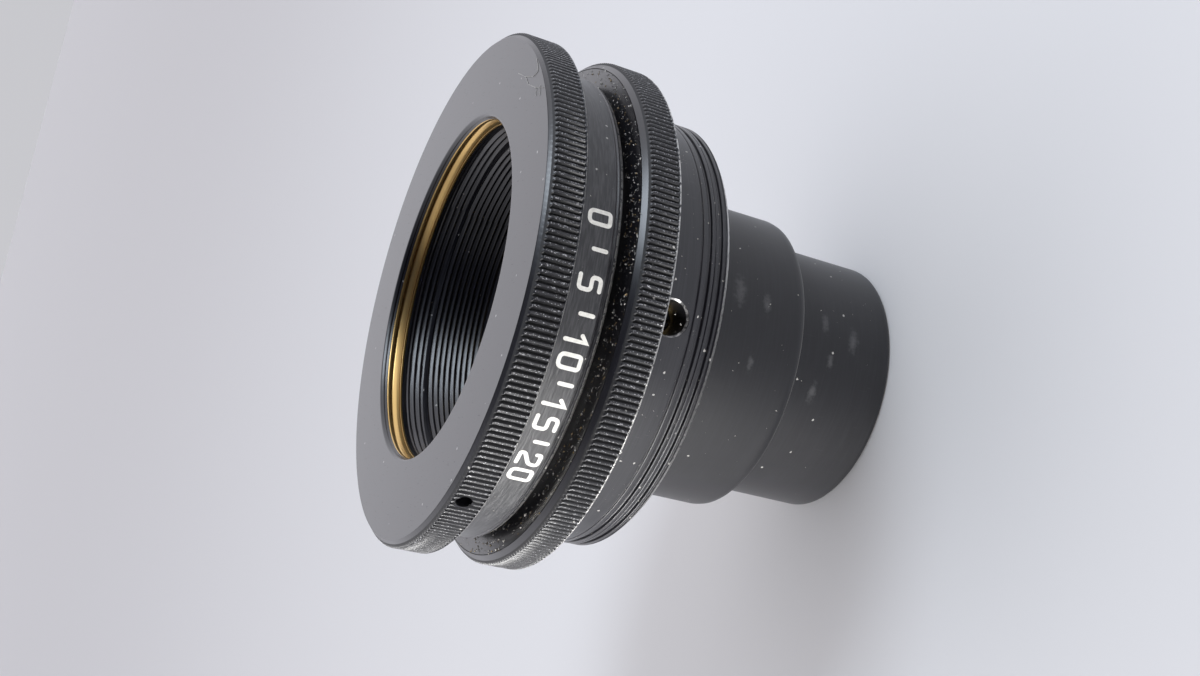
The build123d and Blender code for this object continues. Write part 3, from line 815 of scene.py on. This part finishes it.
class LENS_OT_main_body(bpy.types.Operator):
    """Main body with its ridged bore, collar, turned line and neck"""

    bl_idname = "lens.main_body"
    bl_label = "Main body"

    # Depths of the ridges' inner end, of the step in the bore and of the ridges' end at the mouth,
    # and the radii behind and before the step
    INNER, STEP, MOUTH = 13.4, 5.8, 3.1
    NARROW, WIDE = 19.8, 20.6

    def ridged_depths(self, pitch):
        """Depths of the bore's rows, from the inner end to the mouth, without those at the step."""
        depths = []
        step = pitch / 12
        depth = self.INNER
        while depth > self.MOUTH:
            if abs(depth - self.STEP) > step:
                depths.append(depth)
            depth -= step
        return depths

    def execute(self, context):
        knurls, finishes = context.scene.lens_knurls, context.scene.lens_finishes
        segments, pitch = knurls.segments, knurls.ridge_pitch
        outer = softened(SECTIONS["main_body"])
        angles = np.linspace(0, 2 * math.pi, segments, endpoint=False)
        radii = [np.full(segments, radius) for radius, depth in outer]
        depths = [np.full(segments, depth) for radius, depth in outer]
        for depth in self.ridged_depths(pitch):
            base = self.NARROW if depth > self.STEP else self.WIDE
            turns = depth / pitch - angles / (2 * math.pi)
            wave = np.clip(1.16 * np.abs(2 * (turns - np.floor(turns)) - 1) - 0.08, 0, 1)
            fade = min(1.0, (self.INNER - depth) / 1.2, (depth - self.MOUTH) / 0.5)
            radii.append(base + knurls.ridge_depth * fade * (0.1 + 0.9 * wave))
            depths.append(np.full(segments, depth))
        mesh = lathe_mesh("main_body", np.array(radii), np.array(depths), angles, sharp=42.0)
        # The bore's finish starts at the softened corner of the tube's end
        plain = (len(outer) - 4) * segments
        indices = [0] * plain + [1] * (len(mesh.polygons) - plain)
        mesh.polygons.foreach_set("material_index", indices)
        collar = dark_finish(
            "brushed_black", finishes.collar_black, 0.34, lines=0.14, spacing=4.5, wander=14.0,
            grain=0.03, specks=0.05, relief=0.7, worn=(27.95, 9.88, 0.5)
        )
        bore = dark_finish(
            "bore_black", (0.007, 0.007, 0.01), 0.3, lines=0.1, spacing=4.0, specks=0.03, relief=0.3
        )
        place("main_body_look", mesh, MOUNT, [collar, bore], ["main_body"])
        return {"FINISHED"}


class LENS_OT_scale_numbers(bpy.types.Operator):
    """Engraved and filled numbers of the focusing scale on the collar"""

    bl_idname = "lens.scale_numbers"
    bl_label = "Scale numbers"

    # Centre line of each digit, in a box one unit wide and 1.65 high, and its corners' softness
    DIGITS = {
        "0": [(0.5, 1.65), (0.0, 1.65), (0.0, 0.0), (1.0, 0.0), (1.0, 1.65), (0.5, 1.65)],
        "1": [(0.15, 1.25), (0.6, 1.65), (0.6, 0.0)],
        "2": [(0.0, 1.3), (0.0, 1.65), (1.0, 1.65), (1.0, 0.95), (0.0, 0.35), (0.0, 0.0), (1.0, 0.0)],
        "5": [(0.95, 1.65), (0.05, 1.65), (0.0, 0.95), (1.0, 0.95), (1.0, 0.0), (0.0, 0.0)],
    }
    SOFT = {"0": 0.42, "1": 0.0, "2": 0.3, "5": 0.3}

    # Azimuths of the numbers and of the ticks between them
    NUMBERS = (("0", -73.5), ("5", -88.0), ("10", -102.5), ("15", -117.0), ("20", -131.5))
    TICKS = (-80.6, -94.6, -109.9, -124.3)

    # Depth of the numbers' upper ends, digit width, gap between digits and stroke width
    TOP, SIZE, GAP, STROKE = 6.12, 1.43, 0.95, 0.46

    def centre_line(self, points, soft):
        """Open line with its inner corners rounded."""
        line = [np.array(points[0], float)]
        for before, here, after in zip(points, points[1:], points[2:]):
            here = np.array(here, float)
            back, ahead = np.array(before) - here, np.array(after) - here
            reach = min(soft, 0.48 * np.linalg.norm(back), 0.48 * np.linalg.norm(ahead))
            if reach < 0.02:
                line.append(here)
                continue
            start = here + back / np.linalg.norm(back) * reach
            end = here + ahead / np.linalg.norm(ahead) * reach
            for t in np.linspace(0, 1, 7):
                line.append((1 - t) ** 2 * start + 2 * t * (1 - t) * here + t**2 * end)
        line.append(np.array(points[-1], float))
        return line

    def stroke(self, line, width):
        """Outline of a stroke of a width along a centre line, with round ends."""
        left, right = [], []
        count = len(line)
        for i, here in enumerate(line):
            before = line[max(i - 1, 0)]
            after = line[min(i + 1, count - 1)]
            run_in = here - before if i else after - here
            run_out = after - here if i < count - 1 else run_in
            run_in = run_in / (np.linalg.norm(run_in) or 1)
            run_out = run_out / (np.linalg.norm(run_out) or 1)
            mean = run_in + run_out
            mean = mean / np.linalg.norm(mean)
            normal = np.array((-mean[1], mean[0]))
            stretch = 1 / max(0.5, float(np.dot(mean, run_out)))
            left.append(here + normal * width / 2 * stretch)
            right.append(here - normal * width / 2 * stretch)
        caps = []
        for end, other in ((line[-1], line[-2]), (line[0], line[1])):
            run = end - other
            turn = math.atan2(run[1], run[0])
            caps.append(
                [
                    end + width / 2 * np.array((math.cos(turn + a), math.sin(turn + a)))
                    for a in np.linspace(math.pi / 2, -math.pi / 2, 7)[1:-1]
                ]
            )
        return left, right, caps

    def add_stroke(self, points, faces, line, azimuth):
        """Adds the filled solid of one stroke, wrapped round the collar at an azimuth."""
        left, right, caps = self.stroke([np.array(p) for p in line], self.STROKE)
        outline = left + caps[0] + right[::-1] + caps[1]
        start, count, steps, tail = len(points), len(outline), len(left), len(caps[0])
        for sink in (0.012, -0.15):
            for across, along in outline:
                turned = azimuth - math.degrees(across / COLLAR_RADIUS)
                points.append(tuple(on_lens(COLLAR_RADIUS + sink, turned, self.TOP + along)))
        for i in range(count):
            after = (i + 1) % count
            faces.append((start + i, start + after, start + count + after, start + count + i))
        for level, order in ((start, 1), (start + count, -1)):
            last = level + 2 * steps + tail - 1
            strip = [(level + i, level + i + 1, last - i - 1, last - i) for i in range(steps - 1)]
            end_cap = tuple(range(level + steps - 1, level + steps + tail + 1))
            start_cap = (*range(last, last + tail + 1), level)
            faces.extend(face[::order] for face in (*strip, end_cap, start_cap))

    def execute(self, context):
        points, faces = [], []
        advance = self.SIZE + self.GAP
        for number, azimuth in self.NUMBERS:
            offset = -(len(number) * advance - self.GAP) / 2
            for digit in number:
                line = self.centre_line(self.DIGITS[digit], self.SOFT[digit])
                line = [(offset + p[0] * self.SIZE, p[1] * self.SIZE) for p in line]
                self.add_stroke(points, faces, line, azimuth)
                offset += advance
        for azimuth in self.TICKS:
            self.add_stroke(points, faces, [(0.0, 0.9), (0.0, 1.6), (0.0, 2.34)], azimuth)
        mesh = bpy.data.meshes.new("scale_numbers")
        mesh.from_pydata(points, [], faces)
        mesh.validate()
        finish = paint_finish("number_fill", context.scene.lens_finishes.number_white, 0.18, 0.55)
        place("scale_numbers", mesh, MOUNT, [finish])
        return {"FINISHED"}


class LENS_OT_focus_ring(bpy.types.Operator):
    """Knurled focusing ring with its flat front face and broad bevel"""

    bl_idname = "lens.focus_ring"
    bl_label = "Focusing ring"

    # Corner of the section where the knurl's land starts, teeth, and depth where the grooves end
    KNURL = (2, 279, 15.12)

    def execute(self, context):
        knurls, finishes = context.scene.lens_knurls, context.scene.lens_finishes
        mesh = knurled_mesh("focus_ring", SECTIONS["focus_ring"], *self.KNURL, knurls)
        finish = dark_finish(
            "satin_black_focus", finishes.ring_black, 0.3, lines=0.05, spacing=9.0, grain=0.003,
            specks=0.05, relief=0.06, land=FOCUS_RADIUS, worn=(30.85, 15.27, 0.25)
        )
        place("focus_ring_look", mesh, ROTOR, [finish], ["focus_ring"])
        return {"FINISHED"}


class LENS_OT_focus_sleeve(bpy.types.Operator):
    """Focusing sleeve with its grooves, worn end and the hole for the guide screw"""

    bl_idname = "lens.focus_sleeve"
    bl_label = "Focusing sleeve"

    # Grooves round the sleeve's end: depths of their edges, and how deep they are cut
    GROOVES = (
        (20.3, 20.5, 0.14),
        (21.05, 21.6, 0.38),
        (22.0, 22.12, 0.1),
        (22.45, 22.95, 0.38),
        (23.25, 23.45, 0.14),
    )

    # Plain wall round the hole, in rows: first depth, distance and number
    WALL_START, WALL_STEP, WALL_ROWS = 15.4, 0.45, 11

    # Hole for the guide screw: azimuth, depth, radius, mouth radius, flare and floor
    HOLE = (-90, 17.8, 1.95, 26.44, 0.2, 22.0)

    def execute(self, context):
        corners = [(21.62, 11.92, 0), (26.48, 11.92, 0)]
        for row in range(self.WALL_ROWS):
            corners.append((SLEEVE_RADIUS, self.WALL_START + self.WALL_STEP * row, 0))
        for start, end, cut in self.GROOVES:
            inside = SLEEVE_RADIUS - cut
            corners += [(SLEEVE_RADIUS, start, 0.1), (inside, start + 0.04, 0.1)]
            corners += [(inside, end - 0.04, 0.1), (SLEEVE_RADIUS, end, 0.1)]
        corners += [(SLEEVE_RADIUS, 23.52, 0.06), (25.92, 24.08, 0.08), (23.12, 24.08, 0.03)]
        corners += [(23.12, 13.9, 0), (21.62, 13.9, 0)]
        mesh = turned_mesh("focus_sleeve_look", corners, 480)
        finish = dark_finish(
            "gloss_black", context.scene.lens_finishes.sleeve_black, 0.3, lines=0.08, spacing=6.0,
            grain=0.004, specks=0.1, scuffs=0.06, relief=0.3, worn=(26.2, 23.82, 0.5)
        )
        piece = place("focus_sleeve_look", mesh, ROTOR, [finish], ["focus_sleeve"])
        wall = dark_finish("hole_black", (0.006, 0.006, 0.008), 0.5, lines=0.1, spacing=3.0)
        rim = rim_finish("worn_hole_rim", (0.62, 0.61, 0.6), 0.3)
        drilled(piece, [self.HOLE], [wall, rim])
        return {"FINISHED"}


class LENS_OT_tail_tubes(bpy.types.Operator):
    """Outer tail tube and the lens barrel that pushes into a sleeve"""

    bl_idname = "lens.tail_tubes"
    bl_label = "Tail tubes"

    # Rubbed spots: radius, azimuth, depth and reach
    MARKS = (
        (TUBE_RADIUS, -70.0, 30.0, 3.2),
        (TUBE_RADIUS, -72.0, 33.6, 2.2),
        (TUBE_RADIUS, -95.0, 32.5, 1.6),
        (BARREL_RADIUS, -68.0, 43.5, 2.0),
        (BARREL_RADIUS, -73.0, 47.5, 2.6),
        (BARREL_RADIUS, -85.0, 44.5, 1.8),
        (BARREL_RADIUS, -100.0, 43.0, 2.2),
    )

    def execute(self, context):
        knurls, finishes = context.scene.lens_knurls, context.scene.lens_finishes
        finish = dark_finish(
            "matte_black", finishes.tube_black, 0.42, lines=0.04, spacing=4.0, grain=0.001,
            specks=0.02, scuffs=0.02, ior=1.5, sheen=0.1, marks=self.MARKS
        )
        for name, node in (("outer_tube", "outer_tail_tube"), ("lens_barrel", "lens_barrel")):
            mesh = turned_mesh(name, SECTIONS[name], knurls.segments)
            place(name + "_look", mesh, TAIL, [finish], [node])
        return {"FINISHED"}


class LENS_OT_inner_metal(bpy.types.Operator):
    """Finishes of the screws, the pin, the rings, the spacers, the stop and the helicoid"""

    bl_idname = "lens.inner_metal"
    bl_label = "Inner metal"

    STEEL = ("mount_set_screws", "bearing_ring", "guide_screw", "stop_pin")
    MATTE = (
        "rear_cover_ring", "barrel_lock_ring", "front_spacer", "aperture_stop", "rear_spacer",
        "rear_retaining_ring",
    )

    def execute(self, context):
        grey = (0.014, 0.014, 0.014)
        matte = dark_finish("baffle_black", grey, 0.7, lines=0.1, spacing=5.0, relief=0.2)
        steel = steel_finish("blackened_steel")
        brass = brass_finish("helicoid_brass", (0.34, 0.22, 0.08), (0.1, 0.06, 0.02), 0.45, 0.1)
        for material, nodes in (
            (steel, self.STEEL),
            (matte, self.MATTE),
            (brass, ("helicoid_sleeve",)),
        ):
            for node in nodes:
                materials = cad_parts[node].data.materials
                materials.clear()
                materials.append(material)
        return {"FINISHED"}


class LENS_OT_glass(bpy.types.Operator):
    """The four glasses of the two cemented pairs"""

    bl_idname = "lens.glass"
    bl_label = "Glass"

    # Radii of the polished faces and of the rims, and the steps across half a face
    CLEAR, RIM, STEPS = 11.4, 13.1, 18

    # Depth of the front rim, rims of a crown and a flint, film of cement, spacer and stop
    SEAT, CROWN, FLINT, FILM, SPACER, STOP = 31.5, 1.75, 4.1, 0.02, 2.6, 0.6

    def face(self, depth, curve, outwards):
        """Corners of one face from the rim to the axis.

        A positive curve bulges, and outwards is -1 for a front face and 1 for a rear one.
        """
        corners = []
        rim = math.sqrt(curve**2 - self.CLEAR**2)
        for step in range(self.STEPS, -1, -1):
            radius = self.CLEAR * math.sin(math.pi / 2 * step / self.STEPS)
            rise = math.sqrt(curve**2 - radius**2) - rim
            bulge = outwards * math.copysign(rise, curve)
            corners.append((max(radius, 0.002), depth + bulge, 0))
        return corners

    def execute(self, context):
        finish = glass_finish("coated_glass")
        depth = self.SEAT
        glasses = (
            ("front_crown", self.CROWN, 34.0, 24.0, self.FILM),
            ("front_flint", self.FLINT, -24.0, 110.0, 2 * self.SPACER + self.STOP),
            ("rear_flint", self.FLINT, 110.0, -24.0, self.FILM),
            ("rear_crown", self.CROWN, 24.0, 34.0, 0.0),
        )
        for node, rim, first, second, gap in glasses:
            corners = [(self.RIM, depth, 0), *self.face(depth, first, -1)]
            corners += self.face(depth + rim, second, 1)[::-1]
            corners.append((self.RIM, depth + rim, 0))
            mesh = turned_mesh(node + "_glass", corners, 192, 25.0)
            place(node + "_glass", mesh, TAIL, [finish], [node])
            depth += rim + gap
        return {"FINISHED"}


class LENS_OT_dust(bpy.types.Operator):
    """Chips, fibres and dust on the rings, the collar and the sleeve"""

    bl_idname = "lens.dust"
    bl_label = "Dust and lint"

    # A full turn for random directions and for a chip's corners, and a third of one, in radians.
    # They are rounded, and the places of the dust depend on that.
    TURN, CHIP_TURN, THIRD = 6.28, 6.283, 2.0944

    def chip(self, points, faces, place_at, normal, size, rng):
        """Small ragged chip that lies on a surface."""
        side = normal.orthogonal().normalized()
        side.rotate(Quaternion(normal, rng.uniform(0, self.TURN)))
        other = normal.cross(side)
        start = len(points)
        sides = rng.choice((4, 5))
        long = rng.uniform(0.8, 2.2)
        for i in range(sides):
            turn = self.CHIP_TURN * i / sides + rng.uniform(-0.3, 0.3)
            reach = size * rng.uniform(0.35, 0.6)
            corner = side * math.cos(turn) * reach * long + other * math.sin(turn) * reach
            points.append(tuple(place_at + corner * MM))
        points.append(tuple(place_at + normal * size * rng.uniform(0.3, 0.7) * MM))
        for i in range(sides):
            faces.append((start + i, start + (i + 1) % sides, start + sides))
        faces.append(tuple(start + i for i in reversed(range(sides))))

    def fibre(self, points, faces, path, thickness):
        """Thin three-sided tube along a path."""
        start = len(points)
        for i, here in enumerate(path):
            ahead = path[min(i + 1, len(path) - 1)] - path[max(i - 1, 0)]
            side = ahead.normalized().orthogonal().normalized()
            other = ahead.normalized().cross(side)
            for k in range(3):
                turn = self.THIRD * k
                offset = side * math.cos(turn) + other * math.sin(turn)
                points.append(tuple(here + offset * thickness * MM))
        for i in range(len(path) - 1):
            for k in range(3):
                a, b = start + 3 * i + k, start + 3 * i + (k + 1) % 3
                faces.append((a, b, b + 3, a + 3))
        end = start + 3 * (len(path) - 1)
        faces.append((start + 2, start + 1, start))
        faces.append((end, end + 1, end + 2))

    def finish_piece(self, name, points, faces, body, slot, material):
        mesh = bpy.data.meshes.new(name)
        mesh.from_pydata(points, [], faces)
        mesh.validate()
        place(name, mesh, body, [material])

    def execute(self, context):
        dust = context.scene.lens_dust
        rng = random.Random(dust.seed)
        pale = paint_finish("pale_dust", (0.62, 0.6, 0.55), 0.5, 0.7)
        straw = paint_finish("straw_chips", (0.42, 0.3, 0.14), 0.5, 0.6)
        up = Vector((0, 0, 1))

        # Chips and short fibres on the flat front face of the focusing ring
        inner, outer, face_depth = 26.4, 29.9, 10.98
        kinds = (("ring_chips_pale", 0.72, pale), ("ring_chips_straw", 0.28, straw))
        for name, share, material in kinds:
            points, faces = [], []
            for _ in range(int(dust.chips * share)):
                azimuth, radius = rng.uniform(-180, 180), rng.uniform(inner, outer)
                spot = on_lens(radius, azimuth, face_depth)
                if rng.random() < 0.22:
                    path, heading = [spot], rng.uniform(0, self.TURN)
                    for _ in range(4):
                        heading += rng.uniform(-0.7, 0.7)
                        step = Vector((math.cos(heading), math.sin(heading), 0)) * 0.11 * MM
                        path.append(path[-1] + step)
                    self.fibre(points, faces, path, 0.022)
                else:
                    size = 0.06 + 0.24 * rng.random() ** 3
                    self.chip(points, faces, spot, up, size, rng)
            self.finish_piece(name, points, faces, ROTOR, "sleeve_black", material)

        # Specks on the turned outer surfaces
        zones = (
            ("sleeve_specks", ROTOR, "sleeve_black", SLEEVE_RADIUS, (15.5, 23.4), 1.1),
            ("collar_specks", MOUNT, "body_black", COLLAR_RADIUS, (4.4, 9.6), 0.2),
            ("tube_specks", TAIL, "tube_black", TUBE_RADIUS, (24.5, 38.0), 0.2),
            ("barrel_specks", TAIL, "tube_black", BARREL_RADIUS, (39.5, 52.0), 0.18),
        )
        for name, body, slot, radius, (first, last), share in zones:
            points, faces = [], []
            for _ in range(int(dust.specks * share)):
                azimuth = rng.uniform(-180, 180)
                depth = rng.uniform(first, last)
                normal = (on_lens(1, azimuth, 0) - on_lens(0, azimuth, 0)).normalized()
                size = 0.04 + 0.1 * rng.random() ** 3
                self.chip(points, faces, on_lens(radius, azimuth, depth), normal, size, rng)
            self.finish_piece(name, points, faces, body, slot, pale)

        # Curled lint on the front face near its top edge
        points, faces = [], []
        curls = (
            ((26.8, -25.5), (27.4, -31.9), (27.3, -35.9), (28.4, -41.5), (29.9, -45.8)),
            ((27.4, -31.9), (28.6, -37.1), (29.6, -38.4), (29.9, -36.4), (30.1, -34.2)),
            ((28.6, -41.9), (28.1, -44.0)),
            ((29.4, -43.5), (28.9, -46.0)),
        )
        for curl in curls:
            spots = [on_lens(radius, azimuth, -0.04) for radius, azimuth in curl]
            path = []
            for a, b in zip(spots, spots[1:]):
                path += [a.lerp(b, t / 6) for t in range(6)]
            path.append(spots[-1])
            self.fibre(points, faces, path, 0.03)
        self.finish_piece("face_lint", points, faces, MOUNT, "front_ring_black", pale)
        return {"FINISHED"}


class LENS_OT_stage(bpy.types.Operator):
    """Pale floor, soft lamps, world and camera"""

    bl_idname = "lens.stage"
    bl_label = "Stage"

    def lamp(self, name, spot, aim, size, power, colour):
        data = bpy.data.lights.new(name, "AREA")
        data.shape = "RECTANGLE"
        data.size, data.size_y = size
        data.energy = power
        data.color = colour
        lamp = bpy.data.objects.new(name, data)
        lamp.location = spot
        lamp.rotation_euler = (Vector(aim) - Vector(spot)).to_track_quat("-Z", "Y").to_euler()
        bpy.context.collection.objects.link(lamp)

    def execute(self, context):
        stage = context.scene.lens_stage
        reach = 30.0
        corners = [(-reach, -reach, 0), (reach, -reach, 0), (reach, reach, 0), (-reach, reach, 0)]
        mesh = bpy.data.meshes.new("floor")
        mesh.from_pydata(corners, [], [(0, 1, 2, 3)])
        floor = bpy.data.objects.new("floor", mesh)
        bpy.context.collection.objects.link(floor)
        material, graph, shader = new_finish("pale_floor")
        shader.inputs["Base Color"].default_value = opaque(stage.floor_colour)
        shader.inputs["Roughness"].default_value = 0.6
        mesh.materials.append(material)

        world = bpy.data.worlds.new("studio")
        world.use_nodes = True
        context.scene.world = world
        graph = Graph(world.node_tree)
        background = world.node_tree.nodes["Background"]
        coordinates = graph.add("ShaderNodeTexCoord")
        parts = graph.add("ShaderNodeSeparateXYZ")
        graph.link(coordinates.outputs["Generated"], parts.inputs[0])
        far = graph.ramp(parts.outputs["Y"], -0.1, 0.55)
        upper = graph.ramp(parts.outputs["X"], 0.35, 0.9)
        below = graph.times(parts.outputs["X"], -1.0)
        lower = graph.times(graph.ramp(below, 0.3, 0.9), 0.55)
        open_sides = graph.math("MAXIMUM", far, graph.math("MAXIMUM", upper, lower))
        glow = graph.blend(open_sides, (0.045, 0.047, 0.07, 1.0), (1.3, 1.29, 1.38, 1.0))
        path = graph.add("ShaderNodeLightPath")
        seen = graph.blend(path.outputs["Is Camera Ray"], glow, (0.58, 0.58, 0.61, 1.0))
        graph.link(seen, background.inputs["Color"])

        centre, low = (0.0, 0.0, 0.03), (0.0, 0.0, 0.027)
        cool, warm = (0.8, 0.89, 1.0), (1.0, 0.99, 0.97)
        side = (-0.322, -0.137, 0.027)
        self.lamp("window", (0.28, -0.1, 0.43), centre, (0.2, 0.2), stage.key_power, cool)
        self.lamp("low_side", side, low, (0.6, 0.04), stage.fill_power, warm)

        data = bpy.data.cameras.new("camera")
        data.sensor_width = 36.0
        data.lens = stage.focal_length
        data.clip_start = 0.01
        camera = bpy.data.objects.new("camera", data)
        camera.location = (-0.019151, -0.16666, 0.100271)
        camera.rotation_euler = [math.radians(a) for a in (31.7855, 63.5633, -61.4752)]
        bpy.context.collection.objects.link(camera)
        context.scene.camera = camera
        context.scene.view_settings.view_transform = "Standard"
        return {"FINISHED"}


class LENS_PT_looks(bpy.types.Panel):
    """Lists the lens's pieces and their settings"""

    bl_idname = "LENS_PT_looks"
    bl_label = "Macro lens"
    bl_space_type = "VIEW_3D"
    bl_region_type = "UI"
    bl_category = "Lens"

    def draw(self, context):
        layout = self.layout
        for group in ("lens_knurls", "lens_finishes", "lens_dust", "lens_stage"):
            settings = getattr(context.scene, group)
            box = layout.box()
            for key in settings.bl_rna.properties.keys():
                if key not in ("rna_type", "name"):
                    box.prop(settings, key)
        for operator in OPERATORS:
            layout.operator(operator.bl_idname)


GROUPS = {
    "lens_knurls": LensKnurls,
    "lens_finishes": LensFinishes,
    "lens_dust": LensDust,
    "lens_stage": LensStage,
}

OPERATORS = (
    LENS_OT_front_ring,
    LENS_OT_brass_ring,
    LENS_OT_main_body,
    LENS_OT_scale_numbers,
    LENS_OT_focus_ring,
    LENS_OT_focus_sleeve,
    LENS_OT_tail_tubes,
    LENS_OT_inner_metal,
    LENS_OT_glass,
    LENS_OT_dust,
    LENS_OT_stage,
)


def register():
    for group in GROUPS.values():
        bpy.utils.register_class(group)
    for operator in OPERATORS:
        bpy.utils.register_class(operator)
    bpy.utils.register_class(LENS_PT_looks)
    for name, group in GROUPS.items():
        setattr(bpy.types.Scene, name, PointerProperty(type=group))


def unregister():
    for name in GROUPS:
        delattr(bpy.types.Scene, name)
    bpy.utils.unregister_class(LENS_PT_looks)
    for operator in reversed(OPERATORS):
        bpy.utils.unregister_class(operator)
    for group in reversed(GROUPS.values()):
        bpy.utils.unregister_class(group)


def main():
    """Builds the whole scene."""
    register()
    for operator in OPERATORS:
        group, name = operator.bl_idname.split(".")
        getattr(getattr(bpy.ops, group), name)()


if __name__ == "__main__":
    main()
